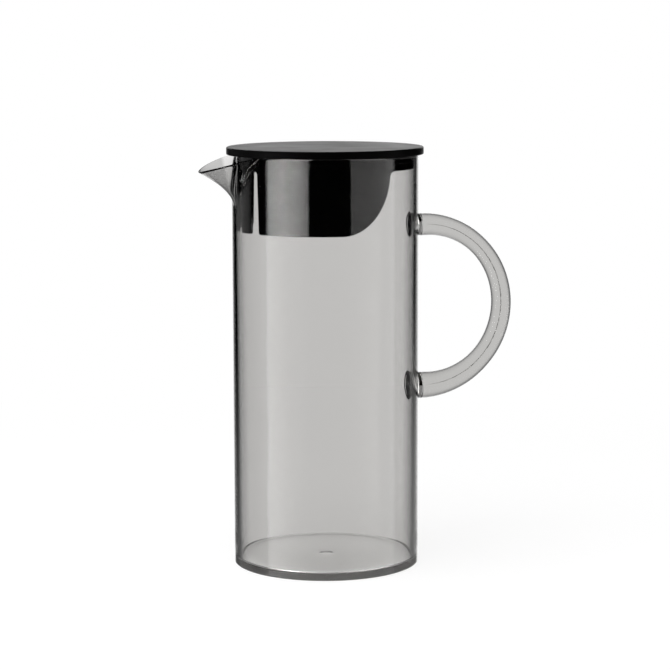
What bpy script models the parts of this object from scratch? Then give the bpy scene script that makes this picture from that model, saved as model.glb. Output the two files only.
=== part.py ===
# Lidded jug: a clear straight-sided jug with a beak and a C handle, and a round lid
# whose skirt hangs inside the mouth with a strainer on one side and a cut-away on the other.
# Metres, +Z up. Origin at the middle of the underside. The beak points along -X, the handle along +X.

import math

import bmesh
import bpy
from mathutils import Matrix

# Driving sizes of the jug
BODY_RADIUS = 0.0500
RIM_HEIGHT = 0.2210
RIM_WALL = 0.0018
BASE_WALL = 0.0032
FLOOR_THICKNESS = 0.0036
FLOOR_CORNER = 0.0012
BASE_EDGE_ROUND = 0.0005
RIM_ROUND = 0.0007

# Beak: how far it stands out, how far its lip dips, how deep it reaches down the wall
BEAK_REACH = 0.0199
BEAK_DIP = 0.0080
BEAK_DIP_POWER = 1.3
BEAK_DEPTH = 0.0200
BEAK_HALF_ANGLE = math.radians(23.3)
BEAK_RIDGE_SHARE = 0.05
BEAK_BLEND_SHARE = 0.85
BEAK_ROWS = 10

# Handle: a round bar bent to a C, thicker below than above and at its two ends, on two bosses
HANDLE_MIDDLE_HEIGHT = 0.1377
HANDLE_BEND_RADIUS = 0.0442
HANDLE_BEND_OFFSET = 0.0064
UPPER_BAR_DIAMETER = 0.0102
LOWER_BAR_DIAMETER = 0.0115
UPPER_END_DIAMETER = 0.0120
LOWER_END_DIAMETER = 0.0143
HANDLE_END_ANGLE = math.radians(50.0)
BOSS_LENGTH = 0.0032
BOSS_ROOT = 0.0012

# Lid: a flat disc that stands out past the wall, and the skirt moulding under it
DISC_OVERHANG = 0.00285
DISC_THICKNESS = 0.0040
DISC_TOP_ROUND = 0.0007
DISC_LOW_ROUND = 0.0005
SKIRT_WALL = 0.0012
SKIRT_DEPTH = 0.0402
COLLAR_WALL = 0.0026
COLLAR_DEPTH = 0.0073
FLANGE_WIDTH = 0.0070
FLANGE_THICKNESS = 0.0015
LID_TURN = math.radians(-12.7)

# Strainer slits, narrow at the top and wide at the bottom
SLIT_COUNT = 5
SLIT_PITCH = math.radians(18.8)
SLIT_TOP_WIDTH = 0.0041
SLIT_LOW_WIDTH = 0.0064
FINGER_CORNER = 0.0012

# Cut-away on the side opposite the strainer
CUT_START = 0.0064
CUT_SWEEP = 0.0252
CUT_CORNER = 0.0030

# Seal: a soft ring in a groove round the collar
SEAL_DROP = 0.0021
GROOVE_HEIGHT = 0.0018
GROOVE_DEPTH = 0.0010

# Fits and working allowances
SEAT_GAP = 0.0003
SKIRT_CLEARANCE = 0.0006
MERGE_DISTANCE = 0.000001
OVERRUN = 0.0100

# Facets
TURN_STEPS = 96
BOSS_STEPS = 32
ROUND_STEPS = 3
HANDLE_BEND_STEPS = 28
SWEEP_STEPS = 12
SQUEEZE_SHARE = 0.55
SQUEEZE_ANGLE = math.radians(38.0)
FLAT_ANGLE = math.radians(0.3)

# Heights and radii that follow from the sizes above
RIM_INNER_RADIUS = BODY_RADIUS - RIM_WALL
FLOOR_INNER_RADIUS = BODY_RADIUS - BASE_WALL
DISC_RADIUS = BODY_RADIUS + DISC_OVERHANG
SKIRT_RADIUS = RIM_INNER_RADIUS - SKIRT_CLEARANCE
DISC_UNDERSIDE = RIM_HEIGHT + SEAT_GAP
SKIRT_TOP = DISC_UNDERSIDE - SEAT_GAP
SKIRT_LOW = DISC_UNDERSIDE - SKIRT_DEPTH
COLLAR_LOW = DISC_UNDERSIDE - COLLAR_DEPTH
GROOVE_TOP = RIM_HEIGHT - SEAL_DROP
GROOVE_LOW = GROOVE_TOP - GROOVE_HEIGHT
GROOVE_RADIUS = SKIRT_RADIUS - GROOVE_DEPTH
BOSS_FACE = BODY_RADIUS + BOSS_LENGTH


def clear_scene():
    for item in list(bpy.data.objects):
        bpy.data.objects.remove(item, do_unlink=True)


def new_collection(name):
    collection = bpy.data.collections.new(name)
    bpy.context.scene.collection.children.link(collection)
    return collection


def plain_material(name, colour, roughness, transmission, alpha):
    material = bpy.data.materials.new(name)
    material.use_nodes = True
    shader = material.node_tree.nodes["Principled BSDF"]
    shader.inputs["Base Color"].default_value = (*colour, 1.0)
    shader.inputs["Metallic"].default_value = 0.0
    shader.inputs["Roughness"].default_value = roughness
    shader.inputs["Transmission Weight"].default_value = transmission
    shader.inputs["Alpha"].default_value = alpha
    material.diffuse_color = (*colour, alpha)
    return material


def arc(centre_x, centre_y, radius_x, radius_y, start, end, steps):
    # Points on an ellipse's arc, both ends included
    points = []
    for index in range(steps + 1):
        angle = start + (end - start) * index / steps
        points.append((centre_x + radius_x * math.cos(angle), centre_y + radius_y * math.sin(angle)))
    return points


def finish_object(item, collection, material):
    collection.objects.link(item)
    item.data.materials.clear()
    item.data.materials.append(material)
    item.data.shade_smooth()
    item.data.set_sharp_from_angle(angle=math.radians(30.0))
    return item


def profile_object(name, profile, closed):
    # A profile in the XZ plane as a wire mesh, ready to be spun about Z
    mesh = bpy.data.meshes.new(name)
    edges = [(index, index + 1) for index in range(len(profile) - 1)]
    if closed:
        edges.append((len(profile) - 1, 0))
    mesh.from_pydata([(x, 0, z) for x, z in profile], edges, [])
    return bpy.data.objects.new(name, mesh)


def add_screw(item):
    screw = item.modifiers.new("turn", "SCREW")
    screw.axis = "Z"
    screw.angle = 2 * math.pi
    screw.steps = TURN_STEPS
    screw.render_steps = TURN_STEPS
    screw.use_merge_vertices = True
    screw.merge_threshold = MERGE_DISTANCE


def evaluated_mesh(item, collection, name):
    # The object's mesh as its modifiers leave it, with loose caps and seams welded
    collection.objects.link(item)
    bpy.context.view_layer.update()
    graph = bpy.context.evaluated_depsgraph_get()
    mesh = bpy.data.meshes.new_from_object(item.evaluated_get(graph))
    mesh.name = name
    work = bmesh.new()
    work.from_mesh(mesh)
    bmesh.ops.remove_doubles(work, verts=work.verts, dist=MERGE_DISTANCE)
    work.to_mesh(mesh)
    work.free()
    bpy.data.objects.remove(item, do_unlink=True)
    return mesh


def flat_outline(name, points, thickness, collection):
    # A flat outline in XZ, thickened evenly along Y
    curve = bpy.data.curves.new(name, "CURVE")
    curve.dimensions = "2D"
    curve.fill_mode = "BOTH"
    curve.extrude = thickness / 2
    spline = curve.splines.new("POLY")
    spline.points.add(len(points) - 1)
    for point, (x, z) in zip(spline.points, points):
        point.co = (x, z, 0, 1)
    spline.use_cyclic_u = True
    mesh = evaluated_mesh(bpy.data.objects.new(name, curve), collection, name)
    mesh.transform(Matrix.Rotation(math.pi / 2, 4, "X"))
    cutter = bpy.data.objects.new(name, mesh)
    collection.objects.link(cutter)
    cutter.hide_render = True
    cutter.display_type = "WIRE"
    return cutter


def add_boolean(item, cutter, operation):
    modifier = item.modifiers.new(cutter.name, "BOOLEAN")
    modifier.operation = operation
    modifier.object = cutter


def beak_share(angle):
    # How much of its full reach the beak has at this angle from its middle:
    # the root of what is left to its edge, then a parabola that blends into the round wall
    across = abs(angle) / BEAK_HALF_ANGLE
    across = math.hypot(across, BEAK_RIDGE_SHARE) - BEAK_RIDGE_SHARE
    if across < BEAK_BLEND_SHARE:
        return math.sqrt(1 - across)
    edge = BEAK_BLEND_SHARE + 4 * (1 - BEAK_BLEND_SHARE)
    if across < edge:
        return math.sqrt(1 - BEAK_BLEND_SHARE) * ((edge - across) / (edge - BEAK_BLEND_SHARE)) ** 2
    return 0.0


def pull_beak(mesh):
    # The beak is pulled out of the turned wall: outwards by a parabola that starts at its foot,
    # while the rim sinks by the dip, most of it near the tip. The wall's facets are first drawn
    # closer together there.
    for vertex in mesh.vertices:
        x, y, z = vertex.co
        radius = math.hypot(x, y)
        angle = math.atan2(y, -x)
        angle *= 1 - SQUEEZE_SHARE * math.exp(-((angle / SQUEEZE_ANGLE) ** 2))
        share = beak_share(angle)
        foot = RIM_HEIGHT - BEAK_DIP * share ** BEAK_DIP_POWER - BEAK_DEPTH * share
        if share > 0 and z > foot:
            climb = (z - foot) / (RIM_HEIGHT - foot)
            radius += BEAK_REACH * share * climb ** 2
            z = foot + climb * BEAK_DEPTH * share
        vertex.co = (-radius * math.cos(angle), radius * math.sin(angle), z)


def wall_rows(low_radius, high_radius, low_height):
    # Rows up the wall through the stretch that the beak is pulled from
    rows = []
    beak_foot = RIM_HEIGHT - BEAK_DIP - BEAK_DEPTH
    top = RIM_HEIGHT - RIM_ROUND
    for index in range(BEAK_ROWS):
        height = beak_foot + (top - beak_foot) * index / BEAK_ROWS
        share = (height - low_height) / (top - low_height)
        rows.append((low_radius + (high_radius - low_radius) * share, height))
    return rows


def make_bosses(cutters):
    # Two short round stubs for the handle, sunk a little into the wall
    bosses = []
    length = BOSS_LENGTH + BOSS_ROOT
    turn = Matrix.Rotation(math.pi / 2, 4, "Y")
    ends = (("upper_boss", 1, UPPER_END_DIAMETER), ("lower_boss", -1, LOWER_END_DIAMETER))
    for name, side, diameter in ends:
        work = bmesh.new()
        bmesh.ops.create_cone(
            work, cap_ends=True, segments=BOSS_STEPS, radius1=diameter / 2, radius2=diameter / 2,
            depth=length, matrix=turn)
        mesh = bpy.data.meshes.new(name)
        work.to_mesh(mesh)
        work.free()
        boss = bpy.data.objects.new(name, mesh)
        boss.location = (BOSS_FACE - length / 2, 0, HANDLE_MIDDLE_HEIGHT + side * HANDLE_BEND_RADIUS)
        boss.hide_render = True
        boss.display_type = "WIRE"
        cutters.objects.link(boss)
        bosses.append(boss)
    return bosses


def make_jug_body(parts, cutters, material):
    # Inside from the floor's middle up to the rim, then down the outside and back to the axis
    inner_edge = FLOOR_INNER_RADIUS - FLOOR_CORNER
    corner = arc(inner_edge, FLOOR_THICKNESS + FLOOR_CORNER, FLOOR_CORNER, FLOOR_CORNER,
                 -math.pi / 2, 0, ROUND_STEPS)
    inside = wall_rows(FLOOR_INNER_RADIUS, RIM_INNER_RADIUS, FLOOR_THICKNESS + FLOOR_CORNER)
    rim = arc(RIM_INNER_RADIUS + RIM_ROUND, RIM_HEIGHT - RIM_ROUND, RIM_ROUND, RIM_ROUND,
              math.pi, math.pi / 2, ROUND_STEPS)
    rim += arc(BODY_RADIUS - RIM_ROUND, RIM_HEIGHT - RIM_ROUND, RIM_ROUND, RIM_ROUND,
               math.pi / 2, 0, ROUND_STEPS)
    outside = [(BODY_RADIUS, height) for _, height in reversed(inside)]
    base = arc(BODY_RADIUS - BASE_EDGE_ROUND, BASE_EDGE_ROUND, BASE_EDGE_ROUND, BASE_EDGE_ROUND,
               0, -math.pi / 2, ROUND_STEPS)
    profile = [(0, FLOOR_THICKNESS)] + corner + inside + rim + outside + base + [(0, 0)]
    turned = profile_object("jug_profile", profile, False)
    add_screw(turned)
    mesh = evaluated_mesh(turned, cutters, "jug_body")
    pull_beak(mesh)
    body = finish_object(bpy.data.objects.new("jug_body", mesh), parts, material)
    flatten = body.modifiers.new("merge_flat_faces", "DECIMATE")
    flatten.decimate_type = "DISSOLVE"
    flatten.angle_limit = FLAT_ANGLE
    for boss in make_bosses(cutters):
        add_boolean(body, boss, "UNION")
    return body


def handle_diameter(bend):
    # The bar thickens evenly on its way down, and swells smoothly over its last stretch at each end
    down = (1 - math.sin(bend)) / 2
    bar_diameter = UPPER_BAR_DIAMETER + (LOWER_BAR_DIAMETER - UPPER_BAR_DIAMETER) * down
    end_diameter = UPPER_END_DIAMETER if bend > 0 else LOWER_END_DIAMETER
    into_end = max(0.0, abs(bend) - (math.pi / 2 - HANDLE_END_ANGLE)) / HANDLE_END_ANGLE
    return bar_diameter + (end_diameter - bar_diameter) * into_end ** 1.5


def make_handle(parts, cutters, material):
    curve = bpy.data.curves.new("handle", "CURVE")
    curve.dimensions = "3D"
    curve.bevel_depth = UPPER_BAR_DIAMETER / 2
    curve.bevel_resolution = 6
    curve.use_fill_caps = True
    bend_centre = BODY_RADIUS + HANDLE_BEND_OFFSET
    route = [(BOSS_FACE + SEAT_GAP, HANDLE_BEND_RADIUS, math.pi / 2)]
    for index in range(HANDLE_BEND_STEPS + 1):
        bend = math.pi / 2 - math.pi * index / HANDLE_BEND_STEPS
        reach = bend_centre + HANDLE_BEND_RADIUS * math.cos(bend)
        route.append((reach, HANDLE_BEND_RADIUS * math.sin(bend), bend))
    route.append((BOSS_FACE + SEAT_GAP, -HANDLE_BEND_RADIUS, -math.pi / 2))
    spline = curve.splines.new("POLY")
    spline.points.add(len(route) - 1)
    for point, (x, rise, bend) in zip(spline.points, route):
        point.co = (x, 0, rise, 1)
        point.radius = handle_diameter(bend) / UPPER_BAR_DIAMETER
    mesh = evaluated_mesh(bpy.data.objects.new("handle_bar", curve), cutters, "handle")
    handle = finish_object(bpy.data.objects.new("handle", mesh), parts, material)
    handle.location = (0, 0, HANDLE_MIDDLE_HEIGHT)
    return handle


def make_lid_disc(parts, cutters, material):
    edge = arc(DISC_RADIUS - DISC_TOP_ROUND, DISC_THICKNESS - DISC_TOP_ROUND, DISC_TOP_ROUND, DISC_TOP_ROUND,
               math.pi / 2, 0, ROUND_STEPS)
    edge += arc(DISC_RADIUS - DISC_LOW_ROUND, DISC_LOW_ROUND, DISC_LOW_ROUND, DISC_LOW_ROUND,
                0, -math.pi / 2, ROUND_STEPS)
    turned = profile_object("disc_profile", [(0, DISC_THICKNESS)] + edge + [(0, 0)], False)
    add_screw(turned)
    mesh = evaluated_mesh(turned, cutters, "lid_disc")
    disc = finish_object(bpy.data.objects.new("lid_disc", mesh), parts, material)
    flatten = disc.modifiers.new("merge_flat_faces", "DECIMATE")
    flatten.decimate_type = "DISSOLVE"
    flatten.angle_limit = FLAT_ANGLE
    return disc


def slit_outline():
    # A tapered slit with a round top, whose lower corners flare to round the fingers off
    top = SLIT_TOP_WIDTH / 2
    low = SLIT_LOW_WIDTH / 2
    right = arc(low + FINGER_CORNER, SKIRT_LOW + FINGER_CORNER, FINGER_CORNER, FINGER_CORNER,
                -math.pi / 2, -math.pi, ROUND_STEPS)
    crown = arc(0, COLLAR_LOW - top, top, top, 0, math.pi, 2 * ROUND_STEPS)
    left = [(-x, z) for x, z in reversed(right)]
    below = SKIRT_LOW - OVERRUN
    foot = low + FINGER_CORNER
    return [(foot, below)] + right + crown + left + [(-foot, below)]


def cut_outline():
    # The skirt's lower edge sweeps up a quarter ellipse to the collar, with a round inner corner
    rise = COLLAR_LOW - SKIRT_LOW
    last = math.asin(CUT_CORNER / rise)
    sweep = arc(CUT_START, COLLAR_LOW, CUT_SWEEP, rise, -math.pi / 2, -last, SWEEP_STEPS)
    side = sweep[-1][0]
    corner = arc(side + CUT_CORNER, COLLAR_LOW - CUT_CORNER, CUT_CORNER, CUT_CORNER,
                 math.pi, math.pi / 2, ROUND_STEPS)
    far = SKIRT_RADIUS + OVERRUN
    below = SKIRT_LOW - OVERRUN
    return sweep + corner[1:] + [(far, COLLAR_LOW), (far, below), (CUT_START, below)]


def make_lid_skirt(parts, cutters, material):
    # Down the outside past the seal's groove, up the inside of the thin skirt and the thicker collar
    skirt_inner = SKIRT_RADIUS - SKIRT_WALL
    collar_inner = SKIRT_RADIUS - COLLAR_WALL
    flange_inner = SKIRT_RADIUS - FLANGE_WIDTH
    flange_low = SKIRT_TOP - FLANGE_THICKNESS
    profile = [
        (SKIRT_RADIUS, SKIRT_TOP), (SKIRT_RADIUS, GROOVE_TOP), (GROOVE_RADIUS, GROOVE_TOP),
        (GROOVE_RADIUS, GROOVE_LOW), (SKIRT_RADIUS, GROOVE_LOW), (SKIRT_RADIUS, SKIRT_LOW),
        (skirt_inner, SKIRT_LOW), (skirt_inner, COLLAR_LOW), (collar_inner, COLLAR_LOW),
        (collar_inner, flange_low), (flange_inner, flange_low), (flange_inner, SKIRT_TOP)]
    turned = profile_object("skirt_profile", profile, True)
    add_screw(turned)
    mesh = evaluated_mesh(turned, cutters, "lid_skirt")
    skirt = finish_object(bpy.data.objects.new("lid_skirt", mesh), parts, material)
    across = 2 * (SKIRT_RADIUS + OVERRUN)
    add_boolean(skirt, flat_outline("cut_away", cut_outline(), across, cutters), "DIFFERENCE")
    for index in range(SLIT_COUNT):
        angle = math.pi + (index - (SLIT_COUNT - 1) / 2) * SLIT_PITCH
        slit = flat_outline(f"slit_{index + 1}", slit_outline(), OVERRUN, cutters)
        slit.rotation_euler = (0, 0, angle - math.pi / 2)
        slit.location = (SKIRT_RADIUS * math.cos(angle), SKIRT_RADIUS * math.sin(angle), 0)
        add_boolean(skirt, slit, "DIFFERENCE")
    return skirt


def make_seal_ring(parts, cutters, material):
    inner = GROOVE_RADIUS + SEAT_GAP
    wall_share = (GROOVE_LOW - FLOOR_THICKNESS) / (RIM_HEIGHT - FLOOR_THICKNESS)
    wall_radius = FLOOR_INNER_RADIUS + (RIM_INNER_RADIUS - FLOOR_INNER_RADIUS) * wall_share
    outer = wall_radius - SEAT_GAP
    half = GROOVE_HEIGHT / 2 - SEAT_GAP
    middle = (inner + outer) / 2
    profile = [
        (middle, half), (outer, half / 2), (outer, -half / 2),
        (middle, -half), (inner, -half), (inner, half)]
    turned = profile_object("seal_profile", profile, True)
    add_screw(turned)
    mesh = evaluated_mesh(turned, cutters, "seal_ring")
    seal = finish_object(bpy.data.objects.new("seal_ring", mesh), parts, material)
    seal.location = (0, 0, (GROOVE_TOP + GROOVE_LOW) / 2)
    return seal


def build():
    clear_scene()
    parts = new_collection("lidded_jug")
    cutters = new_collection("cutters")
    clear_plastic = plain_material("smoky_clear_plastic", (0.32, 0.32, 0.32), 0.05, 0.9, 0.4)
    handle_plastic = plain_material("smoky_clear_handle", (0.36, 0.36, 0.36), 0.05, 0.9, 0.4)
    matte_black = plain_material("matte_black_disc", (0.03, 0.03, 0.03), 0.45, 0.0, 1.0)
    gloss_black = plain_material("gloss_black_skirt", (0.01, 0.01, 0.01), 0.12, 0.0, 1.0)
    seal_black = plain_material("soft_black_seal", (0.05, 0.05, 0.05), 0.6, 0.0, 1.0)

    make_jug_body(parts, cutters, clear_plastic)
    make_handle(parts, cutters, handle_plastic)
    make_seal_ring(parts, cutters, seal_black)

    # The lid turns about the jug's axis, and stands turned a little past the beak
    lid_axis = bpy.data.objects.new("lid_axis", None)
    lid_axis.rotation_euler = (0, 0, LID_TURN)
    parts.objects.link(lid_axis)
    disc = make_lid_disc(parts, cutters, matte_black)
    disc.location = (0, 0, DISC_UNDERSIDE)
    skirt = make_lid_skirt(parts, cutters, gloss_black)
    disc.parent = lid_axis
    skirt.parent = lid_axis
    for index in range(SLIT_COUNT):
        bpy.data.objects[f"slit_{index + 1}"].parent = lid_axis
    bpy.data.objects["cut_away"].parent = lid_axis
    bpy.context.view_layer.update()


build()
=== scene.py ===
import math

import bmesh
import bpy
import numpy as np
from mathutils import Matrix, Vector


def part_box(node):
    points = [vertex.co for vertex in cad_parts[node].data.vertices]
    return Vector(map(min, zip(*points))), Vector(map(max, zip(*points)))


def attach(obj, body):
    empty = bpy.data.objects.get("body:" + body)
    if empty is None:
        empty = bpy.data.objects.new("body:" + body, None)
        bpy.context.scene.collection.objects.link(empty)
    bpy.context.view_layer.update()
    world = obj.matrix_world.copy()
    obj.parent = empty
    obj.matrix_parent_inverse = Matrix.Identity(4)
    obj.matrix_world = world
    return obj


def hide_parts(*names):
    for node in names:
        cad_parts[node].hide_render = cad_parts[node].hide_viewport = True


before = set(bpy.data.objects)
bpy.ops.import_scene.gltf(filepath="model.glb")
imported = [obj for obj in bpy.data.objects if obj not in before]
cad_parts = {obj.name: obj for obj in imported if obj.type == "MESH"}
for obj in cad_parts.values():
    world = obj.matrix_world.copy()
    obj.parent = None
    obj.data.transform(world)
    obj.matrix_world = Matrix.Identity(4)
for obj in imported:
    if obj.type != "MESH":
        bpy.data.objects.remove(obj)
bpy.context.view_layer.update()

# Sizes read from the frame, in metres. Beak along -X, handle along +X, +Z up.
jugLow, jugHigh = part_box("jug_body")
handleLow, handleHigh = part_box("handle")
discLow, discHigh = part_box("lid_disc")
skirtLow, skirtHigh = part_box("lid_skirt")
sealLow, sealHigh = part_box("seal_ring")
lidTurn = math.radians(-12.7)  # the lid stands turned a little past the beak

weldDistance = 1e-6
coreDigits = 7       # decimals to which a core's points are compared, in metres
flatNormal = 0.99    # a face whose normal has this share along X is square to X


# Mesh building from arrays

def gridCells(rowCount, columnCount, closed):
    # Cell (i, j) joins points (i, j), (i, j+1), (i+1, j+1) and (i+1, j) of a rows by columns grid
    rows = np.arange(rowCount - 1)[:, None]
    columns = np.arange(columnCount if closed else columnCount - 1)[None, :]
    after = (columns + 1) % columnCount
    corners = [rows * columnCount + columns, rows * columnCount + after,
               (rows + 1) * columnCount + after, (rows + 1) * columnCount + columns]
    return np.stack(corners, axis=-1)


def gridBlock(points, closed=False, keep=None):
    # A rows by columns grid of points as one block of quads. keep masks the cells that stay.
    cells = gridCells(points.shape[0], points.shape[1], closed)
    cells = cells.reshape(-1, 4) if keep is None else cells[keep]
    return points.reshape(-1, 3), cells


def turnedGrid(profile, angles):
    # Row i, column j is profile point (r, z) number i turned to angle j: (r cos a, r sin a, z)
    radius, height = np.asarray(profile, float).T
    grid = np.empty((len(radius), len(angles), 3))
    grid[:, :, 0] = radius[:, None] * np.cos(angles)[None, :]
    grid[:, :, 1] = radius[:, None] * np.sin(angles)[None, :]
    grid[:, :, 2] = height[:, None]
    return grid


def roundCorner(centre, radius, start, end, steps):
    # Points of a circle's arc in the (r, z) plane, from start to end degrees
    angle = np.radians(np.linspace(start, end, steps + 1))
    return np.column_stack([centre[0] + radius * np.cos(angle), centre[1] + radius * np.sin(angle)])


def line(start, end, steps):
    # Points from start up to, but without, end
    share = np.arange(steps)[:, None] / steps
    return np.asarray(start) + (np.asarray(end) - np.asarray(start)) * share


def makePiece(name, blocks, material, hollow=None):
    # All blocks in one mesh: doubles welded, normals outward, smooth. A hollow block is the wall
    # of an empty core, so its faces are turned inwards. They are found by their rounded points,
    # and about one in nine, with a point that rounds otherwise in the mesh, keeps facing outwards.
    if hollow is not None:
        blocks = blocks + [hollow]
    offsets = np.cumsum([0] + [len(points) for points, _ in blocks[:-1]])
    points = np.concatenate([points for points, _ in blocks])
    cells = np.concatenate([cells + offset for (_, cells), offset in zip(blocks, offsets)])
    mesh = bpy.data.meshes.new(name)
    mesh.from_pydata(points.tolist(), [], cells.tolist())
    work = bmesh.new()
    work.from_mesh(mesh)
    bmesh.ops.remove_doubles(work, verts=work.verts, dist=weldDistance)
    bmesh.ops.dissolve_degenerate(work, edges=work.edges, dist=weldDistance)
    bmesh.ops.recalc_face_normals(work, faces=work.faces)
    if hollow is not None:
        core = {tuple(np.round(point, coreDigits)) for point in hollow[0].tolist()}
        inner = [face for face in work.faces
                 if all(tuple(np.round(corner.co[:], coreDigits)) in core for corner in face.verts)]
        bmesh.ops.reverse_faces(work, faces=inner)
    openEdges = sum(1 for edge in work.edges if len(edge.link_faces) != 2)
    work.to_mesh(mesh)
    work.free()
    mesh.shade_smooth()
    piece = bpy.data.objects.new(name, mesh)
    bpy.context.scene.collection.objects.link(piece)
    mesh.materials.append(material)
    print(f"{name}: {len(mesh.polygons)} faces, {openEdges} open edges")
    return piece


def bondFaces(piece, face, reach, material):
    # The flat faces near x = face take the clear bond's material: there light runs straight on
    piece.data.materials.append(material)
    polygons = piece.data.polygons
    centre, normal = np.empty(3 * len(polygons)), np.empty(3 * len(polygons))
    polygons.foreach_get("center", centre)
    polygons.foreach_get("normal", normal)
    bonded = (np.abs(centre[::3] - face) < reach) & (np.abs(normal[::3]) > flatNormal)
    polygons.foreach_set("material_index", bonded.astype(np.int32))


# Materials

def newMaterial(name):
    # A material with its nodes, its links and its Principled shader
    material = bpy.data.materials.new(name)
    material.use_nodes = True
    nodes = material.node_tree.nodes
    return material, nodes, material.node_tree.links, nodes["Principled BSDF"]


def addMath(tree, operation, *values):
    # A Math node fed by numbers or sockets
    node = tree.nodes.new("ShaderNodeMath")
    node.operation = operation
    for slot, value in zip(node.inputs, values):
        if isinstance(value, (int, float)):
            slot.default_value = value
        else:
            tree.links.new(value, slot)
    return node.outputs[0]


def addRange(tree, value, fromLow, fromHigh, toLow, toHigh, smooth=False):
    # A Map Range node: carries the value from one range over to another
    node = tree.nodes.new("ShaderNodeMapRange")
    node.interpolation_type = "SMOOTHSTEP" if smooth else "LINEAR"
    numbers = {"From Min": fromLow, "From Max": fromHigh, "To Min": toLow, "To Max": toHigh}
    for slot, number in numbers.items():
        node.inputs[slot].default_value = number
    tree.links.new(value, node.inputs["Value"])
    return node.outputs["Result"]


def addMix(tree, factor, low, high, blend="MIX"):
    # A colour from low to high by the factor's socket. Each colour is plain or a socket.
    node = tree.nodes.new("ShaderNodeMix")
    node.data_type = "RGBA"
    node.blend_type = blend
    tree.links.new(factor, node.inputs["Factor"])
    for slot, colour in (("A", low), ("B", high)):
        if isinstance(colour, tuple):
            node.inputs[slot].default_value = (*colour, 1)
        else:
            tree.links.new(colour, node.inputs[slot])
    return node.outputs["Result"]


def addAxes(tree, output):
    # X, Y and Z of one output of Texture Coordinate
    apart = tree.nodes.new("ShaderNodeSeparateXYZ")
    tree.links.new(tree.nodes.new("ShaderNodeTexCoord").outputs[output], apart.inputs[0])
    return apart.outputs


def addSeen(tree, path):
    # 1 for what is seen straight on, in a reflection or through clear plastic
    mirrored = addMath(tree, "MAXIMUM", path.outputs["Is Glossy Ray"],
                       path.outputs["Is Transmission Ray"])
    return addMath(tree, "MAXIMUM", path.outputs["Is Camera Ray"], mirrored)


def addNoise(tree, scale, detail):
    # Noise on Object coordinates, which are metres here
    place = tree.nodes.new("ShaderNodeTexCoord")
    noise = tree.nodes.new("ShaderNodeTexNoise")
    noise.inputs["Scale"].default_value = scale
    noise.inputs["Detail"].default_value = detail
    tree.links.new(place.outputs["Object"], noise.inputs["Vector"])
    return noise.outputs["Fac"]


def addBump(tree, height, strength, distance):
    # The height's socket as a bump, its distance in metres
    bump = tree.nodes.new("ShaderNodeBump")
    bump.inputs["Strength"].default_value = strength
    bump.inputs["Distance"].default_value = distance
    tree.links.new(height, bump.inputs["Height"])
    return bump.outputs["Normal"]


def clearPlastic(name, values):
    # Clear tinted plastic: painted shade darkens it where light leaves it at a slant, and it is darker
    # through its depth.
    # Lamps and the light between plain surfaces pass straight through it.
    material, nodes, links, shader = newMaterial(name)
    tree = material.node_tree
    slant = nodes.new("ShaderNodeFresnel")
    slant.inputs["IOR"].default_value = values["ior"]
    upDown = addMath(tree, "ABSOLUTE", addAxes(tree, "Normal")[2])
    upright = addRange(tree, upDown, *values["levelFrom"], 1, 0)
    # painted shade: how far upright faces darken, by the slant at which light leaves them
    paintedShadeShare = addMath(tree, "MULTIPLY", upright,
                       addRange(tree, slant.outputs[0], *values["slant"], 0, 1))
    # painted light: level faces take the paler level tint, so the floor seen through stays light
    plain = addMix(tree, upright, values["paintedLightTint"], values["tint"])
    colour = addMix(tree, paintedShadeShare, plain, values["paintedShadeTint"])
    x, _, z = addAxes(tree, "Object")
    # darker out on the beak, past the round wall
    far = addRange(tree, addMath(tree, "MULTIPLY", x, -1), *values["farFrom"], 0, 1, True)
    links.new(addMix(tree, far, colour, values["farTint"], "MULTIPLY"), shader.inputs["Base Color"])
    shader.inputs["Transmission Weight"].default_value = 1.0
    shader.inputs["IOR"].default_value = values["ior"]
    shader.inputs["Specular Tint"].default_value = (*[values["mirror"]] * 3, 1)
    depth = nodes.new("ShaderNodeVolumeAbsorption")
    depth.inputs["Color"].default_value = (*values["depthTint"], 1)
    depth.inputs["Density"].default_value = values["depthDensity"]
    links.new(depth.outputs[0], nodes["Material Output"].inputs["Volume"])
    haze = addNoise(tree, values["hazeScale"], values["hazeDetail"])
    smooth = addRange(tree, haze, *values["hazeRange"], *values["roughness"])
    under = addMath(tree, "LESS_THAN", z, values["frostBelow"])
    links.new(addMath(tree, "MAXIMUM", smooth, addMath(tree, "MULTIPLY", under, values["frost"])),
              shader.inputs["Roughness"])
    waves = addNoise(tree, values["waveScale"], values["waveDetail"])
    bump = addBump(tree, waves, values["waveStrength"], values["waveDepth"])
    links.new(bump, shader.inputs["Normal"])
    path = nodes.new("ShaderNodeLightPath")
    straight = nodes.new("ShaderNodeBsdfTransparent")
    straight.inputs["Color"].default_value = (*values["shadowTint"], 1)
    either = addMath(tree, "MAXIMUM", path.outputs["Is Shadow Ray"], path.outputs["Is Diffuse Ray"])
    mix = nodes.new("ShaderNodeMixShader")
    links.new(either, mix.inputs[0])
    links.new(shader.outputs[0], mix.inputs[1])
    links.new(straight.outputs[0], mix.inputs[2])
    links.new(mix.outputs[0], nodes["Material Output"].inputs["Surface"])
    return material


def clearBond(name, tint):
    # The glued joint between handle and boss: clear, with a little grey
    material, nodes, links, _ = newMaterial(name)
    glue = nodes.new("ShaderNodeBsdfTransparent")
    glue.inputs["Color"].default_value = (*tint, 1)
    links.new(glue.outputs[0], nodes["Material Output"].inputs["Surface"])
    return material


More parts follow.
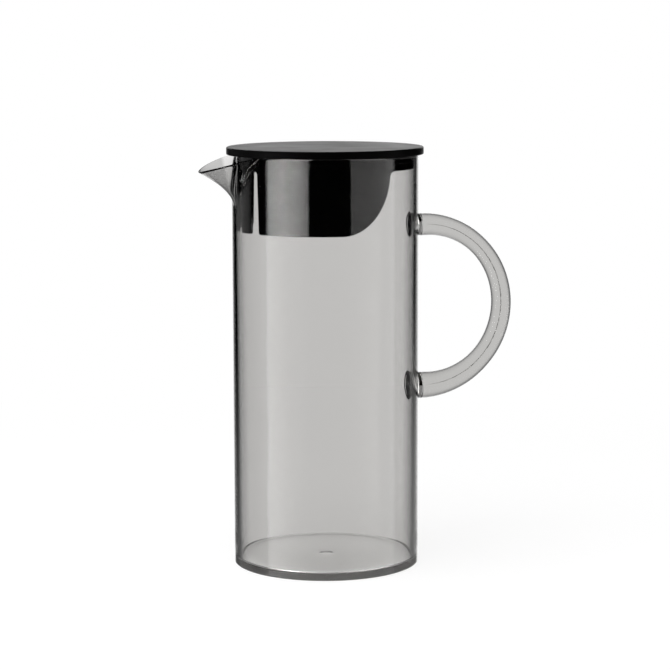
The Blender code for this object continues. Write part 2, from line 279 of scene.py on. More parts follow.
def blackPlastic(name, values):
    # Black moulded plastic: a fine grain in the bump, cloudy gloss and a faint shift of the black.
    # Level faces are a paler black than the sides, painted light on the tops, cloudy as the gloss is.
    material, _, links, shader = newMaterial(name)
    tree = material.node_tree
    cloud = addNoise(tree, values["cloudScale"], values["cloudDetail"])
    black = addMix(tree, cloud, values["dark"], values["light"])
    upDown = addMath(tree, "ABSOLUTE", addAxes(tree, "Normal")[2])
    level = addRange(tree, upDown, *values["levelFrom"], 0, 1)
    # painted light: level faces take a paler black than the sides
    paintedTopLight = addMath(tree, "MULTIPLY", level,
                   addRange(tree, cloud, *values["cloudRange"], *values["paintedLightShare"]))
    links.new(addMix(tree, paintedTopLight, black, values["level"]), shader.inputs["Base Color"])
    gloss = addRange(tree, cloud, *values["cloudRange"], *values["roughness"])
    links.new(gloss, shader.inputs["Roughness"])
    grain = addNoise(tree, values["grainScale"], values["grainDetail"])
    bump = addBump(tree, grain, values["grainStrength"], values["grainDepth"])
    links.new(bump, shader.inputs["Normal"])
    shader.inputs["IOR"].default_value = values["ior"]
    shader.inputs["Specular Tint"].default_value = (*[values["mirror"]] * 3, 1)
    return material


# Camera: where a camera fitted to the photograph's ellipses stands, in the jug's own frame

cameraValues = {
    "place": (-0.32226, -1.14419, 0.29252),
    "heading": math.radians(-16.0),
    "pitch": 0.118,
    "roll": 0.0031,
    "lens": 119.35,
    "shiftY": -0.0775,
    "sensor": 36.0,
    "clipStart": 0.05,
}


def makeCamera(values):
    data = bpy.data.cameras.new("mainCamera")
    data.lens = values["lens"]
    data.sensor_width = values["sensor"]
    data.shift_y = values["shiftY"]
    data.clip_start = values["clipStart"]
    camera = bpy.data.objects.new("mainCamera", data)
    camera.location = values["place"]
    camera.rotation_euler = (math.pi / 2 - values["pitch"], values["roll"], values["heading"])
    bpy.context.scene.collection.objects.link(camera)
    bpy.context.scene.camera = camera
    print("camera made")


makeCamera(cameraValues)

# Studio: a white world. Reflections see soft boxes in dark surroundings.

halfBounce = 0.5    # a Glossy Depth above this has been reflected at least once
studioValues = {
    "ambient": 0.75,
    "dark": 0.0,
    "elevationSoft": 6,     # a box's upper and lower edges are this much softer than its sides
    "fallReach": 40.0,      # a box loses fall * (degrees off its peak / fallReach)^2 of its strength
    # azimuth from the camera's side, positive to its right; both in degrees, with the edge's softness
    "boxes": {
        "leftBox": {"azimuth": (-77.5, -20.5), "elevation": (-60, 50), "soft": 0.6, "strength": 12.3,
                    "peak": -51.5, "fall": 1.08},
        "rightFill": {"azimuth": (33, 95), "elevation": (-60, 50), "soft": 0.8, "strength": 2.0},
        # the backdrop behind the jug, in halves because azimuth turns over there
        "backdropRight": {"azimuth": (158, 181), "elevation": (-80, 12), "soft": 4.0, "strength": 1.0},
        "backdropLeft": {"azimuth": (-181, -162), "elevation": (-80, 12), "soft": 4.0, "strength": 1.0},
        # a low band of it that level faces mirror
        "backLowRight": {"azimuth": (150, 181), "elevation": (3, 14), "soft": 0.7, "strength": 1.2},
        "backLowLeft": {"azimuth": (-181, -150), "elevation": (3, 14), "soft": 0.7, "strength": 1.2},
        "leftFill": {"azimuth": (-141, -108), "elevation": (-60, 50), "soft": 3.0, "strength": 0.22},
        "tableLeft": {"azimuth": (-181, -100), "elevation": (-80, -11.5), "soft": 0.5,
                      "strength": 0.11},
        "tableRight": {"azimuth": (100, 181), "elevation": (-80, -10), "soft": 0.6, "strength": 0.22},
    },
}


def addWindow(tree, value, low, high, soft):
    # 1 between low and high, falling smoothly to 0 over the softness at each end
    rising = addRange(tree, value, low - soft, low + soft, 0, 1, True)
    falling = addRange(tree, value, high - soft, high + soft, 1, 0, True)
    return addMath(tree, "MULTIPLY", rising, falling)


def makeWorld(values, heading):
    # The sum of the soft boxes, each a window in azimuth and elevation, is what reflections see
    world = bpy.data.worlds.new("studioWorld")
    world.use_nodes = True
    bpy.context.scene.world = world
    tree = world.node_tree
    nodes, links = tree.nodes, tree.links
    x, y, z = addAxes(tree, "Generated")
    # Towards the camera's side is (sin h, -cos h), to its right is (cos h, sin h)
    sine, cosine = math.sin(heading), math.cos(heading)
    front = addMath(tree, "SUBTRACT", addMath(tree, "MULTIPLY", x, sine),
                    addMath(tree, "MULTIPLY", y, cosine))
    side = addMath(tree, "ADD", addMath(tree, "MULTIPLY", x, cosine),
                   addMath(tree, "MULTIPLY", y, sine))
    azimuth = addMath(tree, "DEGREES", addMath(tree, "ARCTAN2", side, front))
    elevation = addMath(tree, "DEGREES", addMath(tree, "ARCSINE", z))
    studio = values["dark"]
    for box in values["boxes"].values():
        upSoft = values["elevationSoft"] * box["soft"]
        window = addMath(tree, "MULTIPLY", addWindow(tree, azimuth, *box["azimuth"], box["soft"]),
                         addWindow(tree, elevation, *box["elevation"], upSoft))
        off = addMath(tree, "SUBTRACT", azimuth, box.get("peak", 0))
        fall = addMath(tree, "MULTIPLY", addMath(tree, "MULTIPLY", off, off),
                       box.get("fall", 0) / values["fallReach"] ** 2)
        strength = addMath(tree, "MULTIPLY", addMath(tree, "SUBTRACT", 1, fall), box["strength"])
        studio = addMath(tree, "ADD", studio, addMath(tree, "MULTIPLY", window, strength))
    path = nodes.new("ShaderNodeLightPath")
    reflected = addMath(tree, "GREATER_THAN", path.outputs["Glossy Depth"], halfBounce)
    seen = addSeen(tree, path)
    # white straight on, the studio in reflections, the ambient level for plain light
    mirror = addMath(tree, "ADD", addMath(tree, "MULTIPLY", studio, reflected),
                     addMath(tree, "SUBTRACT", 1.0, reflected))
    level = addMath(tree, "ADD", addMath(tree, "MULTIPLY", mirror, seen),
                    addMath(tree, "MULTIPLY", addMath(tree, "SUBTRACT", 1.0, seen), values["ambient"]))
    links.new(level, nodes["Background"].inputs["Strength"])
    nodes["Background"].inputs["Color"].default_value = (1, 1, 1, 1)
    print("world made")


makeWorld(studioValues, cameraValues["heading"])

lampValues = {
    "overhead": {"place": (-0.35, -0.25, 1.10), "size": 0.9, "power": 9.0},
}


def makeLamps(values):
    # Square soft lamps aimed at the jug's middle
    for name, lamp in values.items():
        data = bpy.data.lights.new(name, "AREA")
        data.size = lamp["size"]
        data.energy = lamp["power"]
        item = bpy.data.objects.new(name, data)
        item.location = lamp["place"]
        aim = Vector((0, 0, jugHigh.z / 2)) - item.location
        item.rotation_euler = aim.to_track_quat("-Z", "Y").to_euler()
        item.visible_camera = False
        item.visible_transmission = False
        item.visible_glossy = False
        bpy.context.scene.collection.objects.link(item)
    print("lamps made")


makeLamps(lampValues)

floorValues = {
    "radius": 0.75,
    "drop": 0.0002,
    "shade": (0.9, 0.9, 0.9),
    "roughness": 0.9,
    "shadowShare": 0.3,
    "fade": (0.18, 0.55),
    "columns": 96,
}


def makeFloor(values):
    # A pale floor that keeps the object's shadow and runs into the white world at its edge
    material, nodes, links, shader = newMaterial("paleFloor")
    tree = material.node_tree
    shader.inputs["Base Color"].default_value = (*values["shade"], 1)
    shader.inputs["Roughness"].default_value = values["roughness"]
    shader.inputs["Specular IOR Level"].default_value = 0.0
    white = nodes.new("ShaderNodeEmission")
    place = nodes.new("ShaderNodeTexCoord")
    reach = nodes.new("ShaderNodeVectorMath")
    reach.operation = "LENGTH"
    links.new(place.outputs["Object"], reach.inputs[0])
    fade = addRange(tree, reach.outputs["Value"], *values["fade"], 1 - values["shadowShare"], 1, True)
    path = nodes.new("ShaderNodeLightPath")
    mix = nodes.new("ShaderNodeMixShader")
    links.new(addMath(tree, "MULTIPLY", fade, addSeen(tree, path)), mix.inputs[0])
    links.new(shader.outputs[0], mix.inputs[1])
    links.new(white.outputs[0], mix.inputs[2])
    # reflections look past the floor into the studio
    mirrored = addMath(tree, "GREATER_THAN", path.outputs["Glossy Depth"], halfBounce)
    past = nodes.new("ShaderNodeMixShader")
    links.new(mirrored, past.inputs[0])
    links.new(mix.outputs[0], past.inputs[1])
    links.new(nodes.new("ShaderNodeBsdfTransparent").outputs[0], past.inputs[2])
    links.new(past.outputs[0], nodes["Material Output"].inputs["Surface"])
    angles = np.linspace(0, 2 * math.pi, values["columns"], endpoint=False)
    grid = turnedGrid([(0, -values["drop"]), (values["radius"], -values["drop"])], angles)
    points, cells = gridBlock(grid, closed=True)
    mesh = bpy.data.meshes.new("floor")
    mesh.from_pydata(points.tolist(), [], cells[:, ::-1].tolist())
    work = bmesh.new()
    work.from_mesh(mesh)
    bmesh.ops.remove_doubles(work, verts=work.verts, dist=weldDistance)
    bmesh.ops.recalc_face_normals(work, faces=work.faces)
    work.to_mesh(mesh)
    work.free()
    if mesh.polygons[0].normal.z < 0:
        mesh.flip_normals()
    mesh.materials.append(material)
    floor = bpy.data.objects.new("floor", mesh)
    bpy.context.scene.collection.objects.link(floor)
    print("floor made")


makeFloor(floorValues)

# Jug: the moulded wall, floor and beak, with two bosses for the handle

jugValues = {
    "radius": jugHigh.y,
    "rimHeight": jugHigh.z,
    "rimWall": 0.0018,
    "baseWall": 0.0032,
    "floor": 0.0036,
    "floorCorner": 0.0012,
    "baseEdge": 0.0005,
    "rimRound": 0.0007,
    "columns": 360,
    "wallRows": 12,
    "beakRows": 64,
    "topRows": 50,          # down the outside from the rim to the upper boss
    "lowRows": 8,           # and each plain stretch below it
    "floorRows": 6,
    "cornerSteps": 10,
    "roundSteps": 6,
    "gateRows": 25,
    # the mould's gate leaves a shallow recess with a nub under the floor's middle
    "gateRadius": 0.0042,
    "gateDepth": 0.0009,
    "nubHeight": 0.0006,
    "nubRadius": 0.0011,
}

beakValues = {
    "reach": 0.0199,
    "dip": 0.0080,
    "dipPower": 1.3,
    "depth": 0.0200,
    "halfAngle": math.radians(23.3),
    "ridgeShare": 0.05,
    "blendShare": 0.85,
    "squeeze": 0.72,
    "squeezeAngle": math.radians(36.0),
}

bossValues = {
    "face": 0.0532,
    "topRadius": 0.0060,
    "lowRadius": 0.00715,
    "root": 0.0012,
    "edge": 0.0005,
    "patchColumns": 11,      # columns of the wall on each side of a boss that its patch takes up
    "patchRows": 20,
    "spreadRows": 9,         # from the patch's border to the root, closer together near the border
    "spreadPower": 0.8,
    "rootBend": (15, 90),    # degrees of the root's round
    "rootRows": 6,
    "sideRows": 4,
    "edgeRows": 4,
    "faceShares": (0.97, 0.8, 0.5, 0.2, 0.0),
}

handleValues = {
    "middleHeight": 0.1377,
    "bendRadius": 0.0442,
    "bendCentre": 0.056398,
    "upperDiameter": 0.0102,
    "lowerDiameter": 0.0115,
    "topEndDiameter": 0.0120,
    "lowEndDiameter": 0.0143,
    "endAngle": math.radians(50.0),
    "swellPower": 1.5,
    "jointGap": 0.0001,
    "edge": 0.0005,
    "edgeRows": 6,
    "capShares": (0.0, 0.3, 0.6, 0.9),
    "straightShares": (0.15, 0.5, 0.85),
    "steps": 150,
    "around": 64,
    "coreRadius": 0.00018,
    "coreSides": 12,
}


def beakShare(angle, values):
    # The beak's share of its full reach at an angle from its middle: the root of what is left
    # to its edge, then a parabola that blends into the round wall. The parabola is 4 times as
    # long as what the root had left, so that the slopes meet.
    across = np.hypot(np.abs(angle) / values["halfAngle"], values["ridgeShare"]) - values["ridgeShare"]
    blend = values["blendShare"]
    edge = blend + 4 * (1 - blend)
    tail = math.sqrt(1 - blend) * (np.clip(edge - across, 0, None) / (edge - blend)) ** 2
    return np.where(across < blend, np.sqrt(np.clip(1 - across, 0, None)), tail)


def pullBeak(grid, jug, beak):
    # Points above the beak's foot go outwards by reach * share * climb^2, while the rim sinks
    # by dip * share^dipPower. The foot lies depth * share below the rim.
    radius = np.hypot(grid[:, :, 0], grid[:, :, 1])
    angle = np.arctan2(grid[:, :, 1], -grid[:, :, 0])
    height = grid[:, :, 2]
    share = beakShare(angle, beak)
    depth = beak["depth"] * share
    foot = jug["rimHeight"] - beak["dip"] * share ** beak["dipPower"] - depth
    rise = np.maximum(jug["rimHeight"] - foot, weldDistance)
    climb = np.clip((height - foot) / rise, 0, None)
    lifted = (share > 0) & (height > foot)
    radius = np.where(lifted, radius + beak["reach"] * share * climb ** 2, radius)
    height = np.where(lifted, foot + climb * depth, height)
    return np.stack([-radius * np.cos(angle), radius * np.sin(angle), height], axis=-1)


def columnAngles(jug, beak):
    # Even steps round the wall, drawn closer together round the beak's middle
    even = np.arange(jug["columns"]) * 2 * math.pi / jug["columns"]
    off = even - math.pi
    return math.pi + off * (1 - beak["squeeze"] * np.exp(-(off / beak["squeezeAngle"]) ** 2))


def bossPatch(border, centreHeight, radius, jug, boss):
    # Rings that go from the border of a gap in the wall to the boss's circle, over the root's
    # round, up its side, round its edge and in to the middle of its face
    count = len(border)
    turn = np.arctan2(border[:, 2] - centreHeight, border[:, 1])
    circle = np.column_stack([np.cos(turn), np.sin(turn)])
    start = border[:, 1:] - (0, centreHeight)
    outer = radius + boss["root"]
    share = np.linspace(0, 1, boss["spreadRows"])[:, None, None] ** boss["spreadPower"]
    flat = start[None] + (outer * circle[None] - start[None]) * share
    onWall = np.sqrt(jug["radius"] ** 2 - flat[:, :, 0] ** 2)
    rings = [np.dstack([onWall, flat[:, :, 0], flat[:, :, 1] + centreHeight])]
    bend = np.radians(np.linspace(*boss["rootBend"], boss["rootRows"]))
    reach = outer - boss["root"] * np.sin(bend)
    off = boss["root"] * (1 - np.cos(bend))
    across = reach[:, None, None] * circle[None]
    rootX = np.sqrt(jug["radius"] ** 2 - across[:, :, 0] ** 2) + off[:, None]
    rings.append(np.dstack([rootX, across[:, :, 0], across[:, :, 1] + centreHeight]))
    sideStart = rootX[-1]
    sideEnd = boss["face"] - boss["edge"]
    sideShare = np.linspace(0, 1, boss["sideRows"] + 1)[1:, None]
    sideX = sideStart[None] + (sideEnd - sideStart[None]) * sideShare
    side = np.repeat(radius * circle[None], boss["sideRows"], axis=0)
    rings.append(np.dstack([sideX, side[:, :, 0], side[:, :, 1] + centreHeight]))
    bend = np.radians(np.linspace(0, 90, boss["edgeRows"] + 1))[1:]
    reach = radius - boss["edge"] * (1 - np.cos(bend))
    edgeX = np.repeat((sideEnd + boss["edge"] * np.sin(bend))[:, None], count, axis=1)
    across = reach[:, None, None] * circle[None]
    rings.append(np.dstack([edgeX, across[:, :, 0], across[:, :, 1] + centreHeight]))
    reach = (radius - boss["edge"]) * np.array(boss["faceShares"])
    across = reach[:, None, None] * circle[None]
    faceX = np.full((len(reach), count), boss["face"])
    rings.append(np.dstack([faceX, across[:, :, 0], across[:, :, 1] + centreHeight]))
    return gridBlock(np.concatenate(rings), closed=True)


def borderLoop(grid, rows, columns):
    # The points round a rectangle of cells: along its first row, down, back and up
    first, last = rows
    top = [(first, c) for c in columns[:-1]]
    right = [(r, columns[-1]) for r in range(first, last)]
    bottom = [(last, c) for c in columns[:0:-1]]
    left = [(r, columns[0]) for r in range(last, first, -1)]
    index = np.array(top + right + bottom + left)
    return grid[index[:, 0], index[:, 1]]


def makeJug(jug, beak, boss, handle, material, bond):
    # One profile turned round the axis: the floor, up the inside, over the rim, down the outside and
    # back underneath, then pulled out to the beak. At each boss a patch of the wall gives way to
    # the boss's own rings.
    angles = columnAngles(jug, beak)
    radius, rim = jug["radius"], jug["rimHeight"]
    cornerHeight = jug["floor"] + jug["floorCorner"]
    lowInner, rimInner = radius - jug["baseWall"], radius - jug["rimWall"]
    rimMiddle = rim - jug["rimRound"]
    beakFoot = rim - beak["dip"] - beak["depth"]
    # Inside: floor from its middle, corner, wall up to the rim
    cornerRadius = lowInner - jug["floorCorner"]
    floor = line((0, jug["floor"]), (cornerRadius, jug["floor"]), jug["floorRows"])
    corner = roundCorner((cornerRadius, cornerHeight), jug["floorCorner"], -90, 0, jug["cornerSteps"])
    heights = np.concatenate([np.linspace(cornerHeight, beakFoot, jug["wallRows"])[1:],
                              np.linspace(beakFoot, rimMiddle, jug["beakRows"])[1:-1]])
    share = (heights - cornerHeight) / (rimMiddle - cornerHeight)
    inside = np.column_stack([lowInner + (rimInner - lowInner) * share, heights])
    # The rim's round, then the outside down past the bosses' patches
    rimRound, steps = jug["rimRound"], jug["roundSteps"]
    rimTop = np.concatenate([
        roundCorner((rimInner + rimRound, rimMiddle), rimRound, 180, 90, steps),
        roundCorner((radius - rimRound, rimMiddle), rimRound, 90, 0, steps)])
    pitch = 2 * math.pi * radius / jug["columns"]
    halfPatch = pitch * boss["patchColumns"]
    centres = [handle["middleHeight"] + side * handle["bendRadius"] for side in (1, -1)]
    stretches = [np.linspace(rimMiddle, centres[0] + halfPatch, jug["topRows"])[1:]]
    for index, centre in enumerate(centres):
        stretches.append(np.linspace(centre + halfPatch, centre - halfPatch, boss["patchRows"] + 1)[1:])
        nextStop = centres[1] + halfPatch if index == 0 else jug["baseEdge"]
        stretches.append(np.linspace(centre - halfPatch, nextStop, jug["lowRows"])[1:])
    outerHeights = np.concatenate(stretches)[:-1]
    outside = np.column_stack([np.full(len(outerHeights), radius), outerHeights])
    base = roundCorner((radius - jug["baseEdge"], jug["baseEdge"]), jug["baseEdge"], 0, -90, steps)
    # Underneath, with the gate at the middle: depth * (1 - share^2)^2, less a bell-shaped nub
    gateReach = jug["gateRadius"] * np.linspace(1, 0, jug["gateRows"])
    recess = jug["gateDepth"] * (1 - (gateReach / jug["gateRadius"]) ** 2) ** 2
    nub = jug["nubHeight"] * np.exp(-(gateReach / jug["nubRadius"]) ** 2)
    gate = np.column_stack([gateReach, np.clip(recess - nub, 0, None)])
    under = line((radius - jug["baseEdge"], 0), (jug["gateRadius"], 0), jug["floorRows"])[1:]
    profile = np.concatenate([floor, corner, inside, rimTop, outside, base, under, gate])
    firstOuter = len(floor) + len(corner) + len(inside) + len(rimTop)
    grid = pullBeak(turnedGrid(profile, angles), jug, beak)
    keep = np.ones((len(profile) - 1, jug["columns"]), bool)
    blocks = []
    span = boss["patchColumns"]
    columns = [c % jug["columns"] for c in range(-span, span + 1)]
    for centre, bossRadius in zip(centres, (boss["topRadius"], boss["lowRadius"])):
        top = firstOuter + int(np.argmin(np.abs(outerHeights - (centre + halfPatch))))
        bottom = top + boss["patchRows"]
        keep[top:bottom, columns[:-1]] = False
        border = borderLoop(grid, (top, bottom), columns)
        blocks.append(bossPatch(border, centre, bossRadius, jug, boss))
    blocks.insert(0, gridBlock(grid, closed=True, keep=keep))
    piece = makePiece("clearJug", blocks, material)
    bondFaces(piece, boss["face"], handle["jointGap"] / 2, bond)
    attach(piece, "jug")
    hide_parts("jug_body")


def makeHandle(handle, boss, material, bond):
    # Circles carried along the bar's middle line: a short straight, half a turn, a short straight.
    # The bar thickens on its way down and swells towards both ends, each a small round and a flat cap.
    bend = np.linspace(math.pi / 2, -math.pi / 2, handle["steps"])
    intoEnd = np.clip(np.abs(bend) - (math.pi / 2 - handle["endAngle"]), 0, None) / handle["endAngle"]
    thickening = handle["lowerDiameter"] - handle["upperDiameter"]
    bar = handle["upperDiameter"] + thickening * (1 - np.sin(bend)) / 2
    endDiameter = np.where(bend > 0, handle["topEndDiameter"], handle["lowEndDiameter"])
    radius = (bar + (endDiameter - bar) * intoEnd ** handle["swellPower"]) / 2
    place = np.column_stack([handle["bendCentre"] + handle["bendRadius"] * np.cos(bend),
                             handle["middleHeight"] + handle["bendRadius"] * np.sin(bend)])
    outward = np.column_stack([np.cos(bend), np.sin(bend)])
    face = boss["face"] + handle["jointGap"]
    turn = np.radians(np.linspace(90, 0, handle["edgeRows"]))
    edge = handle["edge"]

    def endRings(height, endRadius, side):
        # From the cap's middle out over its round edge to the start of the bend
        flat = np.array(handle["capShares"]) * (endRadius - edge)
        rounded = endRadius - edge * (1 - np.cos(turn))
        straight = (handle["bendCentre"] - face - edge) * np.array(handle["straightShares"])
        reach = np.concatenate([flat, rounded, np.full(len(straight), endRadius)])
        x = np.concatenate([np.full(len(flat), face), face + edge * (1 - np.sin(turn)),
                            face + edge + straight])
        centre = np.column_stack([x, np.full(len(x), height)])
        return centre, reach, np.tile((0.0, side), (len(x), 1))

    topEnd = endRings(place[0, 1], radius[0], 1.0)
    lowEnd = endRings(place[-1, 1], radius[-1], -1.0)
    centre = np.concatenate([topEnd[0], place, lowEnd[0][::-1]])
    reach = np.concatenate([topEnd[1], radius, lowEnd[1][::-1]])
    normal = np.concatenate([topEnd[2], outward, lowEnd[2][::-1]])

    def carried(centre, reach, normal, sides):
        around = np.linspace(0, 2 * math.pi, sides, endpoint=False)
        inPlane = reach[:, None] * np.cos(around)[None]
        grid = np.dstack([centre[:, 0:1] + inPlane * normal[:, 0:1],
                          reach[:, None] * np.sin(around)[None],
                          centre[:, 1:2] + inPlane * normal[:, 1:2]])
        return gridBlock(grid, closed=True)

    # A hair-thin empty core runs along the bar's middle and tapers to nothing at both ends
    coreReach = handle["coreRadius"] * np.sqrt(np.sin(np.linspace(0, math.pi, handle["steps"])))
    core = carried(place, coreReach, outward, handle["coreSides"])
    piece = makePiece("clearHandle", [carried(centre, reach, normal, handle["around"])], material, core)
    bondFaces(piece, face, handle["jointGap"] / 2, bond)
    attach(piece, "jug")
    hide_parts("handle")


jugPlasticValues = {
    "tint": (0.742, 0.737, 0.73),
    "paintedLightTint": (0.96, 0.955, 0.95),   # painted light: a paler tint on level faces, so the floor seen through stays light
    # painted shade: from these Fresnel values upright faces darken towards the tint below where light
    # leaves them at a slant
    "slant": (0.11, 0.45),
    "paintedShadeTint": (0.3, 0.3, 0.3),
    "levelFrom": (0.5, 0.95),    # share of the normal along Z where a face begins and ends to be level
    "depthTint": (0.5, 0.49, 0.47),
    "depthDensity": 24.0,
    "mirror": 0.01,
    "ior": 1.55,
    "roughness": (0.0, 0.03),
    "frost": 0.35,            # the underside stands on a frosted face
    "frostBelow": 0.0002,
    "hazeScale": 60.0,
    "hazeDetail": 3.0,
    "hazeRange": (0.35, 0.75),
    "waveScale": 35.0,
    "waveDetail": 1.0,
    "waveStrength": 0.01,
    "waveDepth": 0.0003,
    "shadowTint": (0.95, 0.95, 0.945),
    "farTint": (0.69, 0.69, 0.69),   # darker out on the beak, past the round wall
    "farFrom": (0.0502, 0.0530),
}
# the handle's painted shade at a slant is darker and sets in sooner; its level faces take no painted
# light
handlePlasticValues = dict(jugPlasticValues, tint=(0.59, 0.585, 0.575), paintedLightTint=(0.59, 0.585, 0.575),
                           slant=(0.048, 0.11), paintedShadeTint=(0.2, 0.2, 0.2), shadowTint=(0.8, 0.8, 0.79))

jugPlastic = clearPlastic("smokyClearPlastic", jugPlasticValues)
handlePlastic = clearPlastic("smokyClearHandle", handlePlasticValues)
bond = clearBond("clearBond", (0.72, 0.72, 0.72))
makeJug(jugValues, beakValues, bossValues, handleValues, jugPlastic, bond)
makeHandle(handleValues, bossValues, handlePlastic, bond)

# Lid: disc, skirt with strainer slits and cut-away, seal ring

discValues = {
    "radius": discHigh.y,
    "low": discLow.z,
    "top": discHigh.z,
    "topRound": 0.0007,
    "lowRound": 0.0005,
    "rings": 12,
    "topSteps": 6,
    "lowSteps": 5,
    "columns": 288,
}


def makeDisc(values, material):
    # The underside from its middle, the two rounds of the edge, and the top back to its middle
    radius, low, top = values["radius"], values["low"], values["top"]
    topRound, lowRound = values["topRound"], values["lowRound"]
    profile = np.concatenate([
        line((0, low), (radius - lowRound, low), values["rings"]),
        roundCorner((radius - lowRound, low + lowRound), lowRound, -90, 0, values["lowSteps"]),
        roundCorner((radius - topRound, top - topRound), topRound, 0, 90, values["topSteps"]),
        line((0, top), (radius - topRound, top), values["rings"])[::-1]])
    angles = np.linspace(0, 2 * math.pi, values["columns"], endpoint=False)
    piece = makePiece("flatDisc", [gridBlock(turnedGrid(profile, angles), closed=True)], material)
    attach(piece, "lid")
    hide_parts("lid_disc")


collarDepth = 0.0070
sealSlack = 0.00015   # room in the groove above and below the seal

skirtValues = {
    "radius": 0.0476,
    "top": skirtHigh.z,
    "low": skirtLow.z,
    "wall": 0.0012,
    "collarWall": 0.0026,
    "collarLow": skirtHigh.z - collarDepth,
    "flangeWidth": 0.0070,
    "flangeThickness": 0.0015,
    "grooveTop": sealHigh.z + sealSlack,
    "grooveLow": sealLow.z - sealSlack,
    "grooveDepth": 0.0010,
    "slitCount": 5,
    "slitPitch": math.radians(18.8),
    "slitTopHalf": 0.00205,
    "slitLowHalf": 0.0032,
    "fingerCorner": 0.0012,
    "cutStart": 0.0064,
    "cutSweep": 0.0252,
    "cutCorner": 0.0030,
    "edgeBevel": 0.0002,
    "bevelSegments": 2,
    "bevelAngle": math.radians(40),
    "crownSteps": 10,
    "flareSteps": 9,
    "slitSteps": 14,
    "sweepSteps": 40,
    "cornerSteps": 10,
    "plainColumns": 50,
    "fingerColumns": 13,
    "gapColumns": 60,
}


def slitRows(values):
    # Heights down a slit from its round top to its flared foot, and the slit's half width there
    top, low, corner = values["slitTopHalf"], values["slitLowHalf"], values["fingerCorner"]
    crownCentre = values["collarLow"] - top
    crown = np.radians(np.linspace(90, 0, values["crownSteps"]))
    flare = np.radians(np.linspace(0, 90, values["flareSteps"]))
    straight = np.linspace(0, 1, values["slitSteps"])[1:-1]
    foot = values["low"] + corner
    heights = np.concatenate([crownCentre + top * np.sin(crown),
                              crownCentre + (foot - crownCentre) * straight,
                              foot - corner * np.sin(flare)])
    halfWidths = np.concatenate([top * np.cos(crown), top + (low - top) * straight,
                                 low + corner * (1 - np.cos(flare))])
    return heights, halfWidths


def cutEdge(values):
    # The cut-away's lower edge from the full skirt up to the collar, as lid angles and heights:
    # a quarter ellipse in the lid's X, then a round inner corner
    rise = values["collarLow"] - values["low"]
    last = math.asin(values["cutCorner"] / rise)
    sweep = np.linspace(-math.pi / 2, -last, values["sweepSteps"])
    x = values["cutStart"] + values["cutSweep"] * np.cos(sweep)
    z = values["collarLow"] + rise * np.sin(sweep)
    turn = np.linspace(math.pi, math.pi / 2, values["cornerSteps"])[1:]
    cornerX = x[-1] + values["cutCorner"] * (1 + np.cos(turn))
    cornerZ = values["collarLow"] - values["cutCorner"] * (1 - np.sin(turn))
    x, z = np.concatenate([x, cornerX]), np.concatenate([z, cornerZ])
    return np.arccos(x / values["radius"]), z


def skirtPanel(topAngles, edgeHeights, leftWeight, rightWeight, values):
    # A panel of the thin skirt. Its columns start at topAngles on the collar and run down to
    # edgeHeights; the weights lean the columns off the slits on its left and right.
    heights, halfWidths = slitRows(values)
    share = (values["collarLow"] - heights) / (values["collarLow"] - values["low"])
    z = values["collarLow"] - share[:, None] * (values["collarLow"] - edgeHeights)[None]
    lean = halfWidths[:, None] / values["radius"] * (leftWeight - rightWeight)[None]
    angle = topAngles[None] + lean + lidTurn
    blocks = []
    skins = []
    for radius in (values["radius"], values["radius"] - values["wall"]):
        skin = np.dstack([radius * np.cos(angle), radius * np.sin(angle), z])
        skins.append(skin)
        blocks.append(gridBlock(skin))
    outer, inner = skins
    blocks.append(gridBlock(np.stack([outer[-1], inner[-1]])))
    if leftWeight[0] > 0:
        blocks.append(gridBlock(np.stack([outer[:, 0], inner[:, 0]])))
    if rightWeight[-1] > 0:
        blocks.append(gridBlock(np.stack([outer[:, -1], inner[:, -1]])))
    return blocks


def makeSkirt(values, material):
    # Thin panels hang between the slits and up to the cut-away, from a collar turned round the axis
    pitch, count = values["slitPitch"], values["slitCount"]
    slits = math.pi + (np.arange(count) - (count - 1) / 2) * pitch
    cutAngles, cutHeights = cutEdge(values)
    blocks, tops = [], []
    # From the cut-away round to the first slit: the swept edge, then the plain skirt
    plain = np.linspace(cutAngles[0], slits[0], values["plainColumns"])[1:]
    angles = np.concatenate([cutAngles[::-1], plain])
    edges = np.concatenate([cutHeights[::-1], np.full(len(plain), values["low"])])
    lean = np.clip(1 - (slits[0] - angles) / pitch, 0, 1)
    none = np.zeros(len(angles))
    blocks += skirtPanel(angles, edges, none, lean, values)
    tops.append(angles)
    for start in slits[:-1]:
        share = np.linspace(0, 1, values["fingerColumns"])
        finger = start + pitch * share
        blocks += skirtPanel(finger, np.full(len(share), values["low"]), 1 - share, share, values)
        tops.append(finger[1:])
    # The far side mirrors the first stretch
    mirrored = 2 * math.pi - angles[::-1]
    blocks += skirtPanel(mirrored, edges[::-1], lean[::-1], none, values)
    tops.append(mirrored[1:])
    gap = np.linspace(mirrored[-1], 2 * math.pi + angles[0], values["gapColumns"])
    # The collar: a closed ring whose columns meet the panels' columns
    around = np.concatenate(tops + [gap[1:-1]]) + lidTurn
    radius, top, low = values["radius"], values["top"], values["collarLow"]
    inner = radius - values["collarWall"]
    grooveRadius = radius - values["grooveDepth"]
    flangeInner, flangeLow = radius - values["flangeWidth"], top - values["flangeThickness"]
    profile = [(radius, low), (radius, values["grooveLow"]), (grooveRadius, values["grooveLow"]),
               (grooveRadius, values["grooveTop"]), (radius, values["grooveTop"]), (radius, top),
               (flangeInner, top), (flangeInner, flangeLow), (inner, flangeLow), (inner, low),
               (radius - values["wall"], low)]
    blocks.append(gridBlock(turnedGrid(profile, around), closed=True))
    blocks.append(gridBlock(turnedGrid([(radius - values["wall"], low), (radius, low)], gap + lidTurn)))
    piece = makePiece("strainerSkirt", blocks, material)
    bevel = piece.modifiers.new("edgeBevel", "BEVEL")
    bevel.width = values["edgeBevel"]
    bevel.segments = values["bevelSegments"]
    bevel.limit_method = "ANGLE"
    bevel.angle_limit = values["bevelAngle"]
    bevel.harden_normals = True
    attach(piece, "lid")
    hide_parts("lid_skirt")


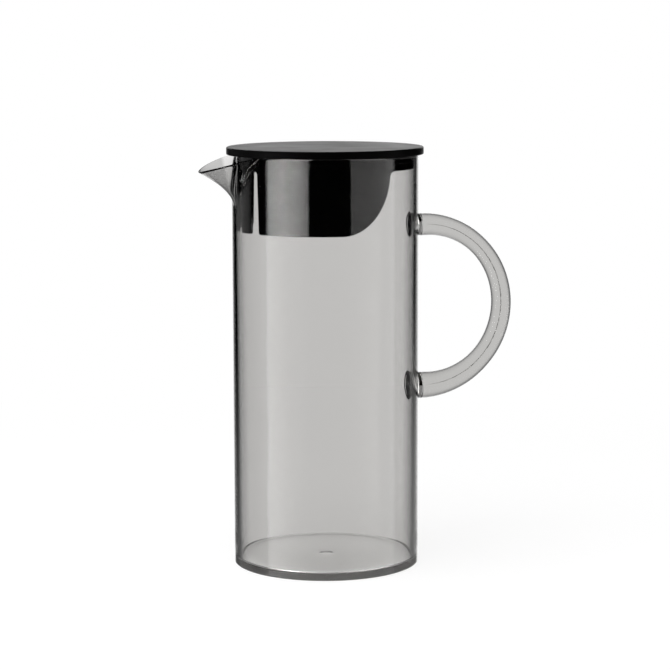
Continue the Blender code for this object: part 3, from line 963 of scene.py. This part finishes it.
sealValues = {
    "low": sealLow.z,
    "top": sealHigh.z,
    "outer": 0.0478,
    "inner": 0.0469,
    "corner": 0.00018,
    "cornerSteps": 5,
    "columns": 288,
}


def makeSeal(values, material):
    # A flat band with small rounds at its two outer corners
    low, top, outer, corner = values["low"], values["top"], values["outer"], values["corner"]
    profile = np.concatenate([
        [(values["inner"], low)],
        roundCorner((outer - corner, low + corner), corner, -90, 0, values["cornerSteps"]),
        roundCorner((outer - corner, top - corner), corner, 0, 90, values["cornerSteps"]),
        [(values["inner"], top), (values["inner"], low)]])
    angles = np.linspace(0, 2 * math.pi, values["columns"], endpoint=False)
    piece = makePiece("softSeal", [gridBlock(turnedGrid(profile, angles), closed=True)], material)
    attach(piece, "lid_seal")
    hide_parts("seal_ring")


# What the three blacks share; each then has its own tones, gloss and grain
plainBlack = {
    "cloudDetail": 4.0,
    "cloudRange": (0.3, 0.7),
    "grainDetail": 2.0,
    "grainScale": 500.0,
    "grainDepth": 0.0001,
    # level faces take a paler black, painted light on the tops, from these shares of the normal along Z
    # and by the cloud
    "levelFrom": (0.8, 0.98),
    "paintedLightShare": (0.8, 1),
    "ior": 1.5,
    "mirror": 1.0,
}
# level: the paler black of level faces, painted light on the tops
discBlack = dict(plainBlack, dark=(0.0008, 0.0008, 0.0008), light=(0.0016, 0.0016, 0.0016),
                 level=(0.015, 0.015, 0.015), cloudScale=40.0, roughness=(0.32, 0.40),
                 grainScale=2200.0, grainStrength=0.12, ior=1.12, mirror=0.027)
skirtBlack = dict(plainBlack, dark=(0.0005, 0.0005, 0.0005), light=(0.0015, 0.0015, 0.0015),
                  level=(0.006, 0.006, 0.006), cloudScale=25.0, roughness=(0.05, 0.09),
                  grainStrength=0.02)
sealBlack = dict(plainBlack, dark=(0.001, 0.001, 0.001), light=(0.003, 0.003, 0.003),
                 level=(0.008, 0.008, 0.008), cloudScale=120.0, roughness=(0.08, 0.14),
                 grainStrength=0.03)
discPlastic = blackPlastic("matteBlackDisc", discBlack)
skirtPlastic = blackPlastic("glossBlackSkirt", skirtBlack)
sealRubber = blackPlastic("softBlackSeal", sealBlack)
makeDisc(discValues, discPlastic)
makeSkirt(skirtValues, skirtPlastic)
makeSeal(sealValues, sealRubber)

bpy.context.scene.view_settings.view_transform = "Standard"
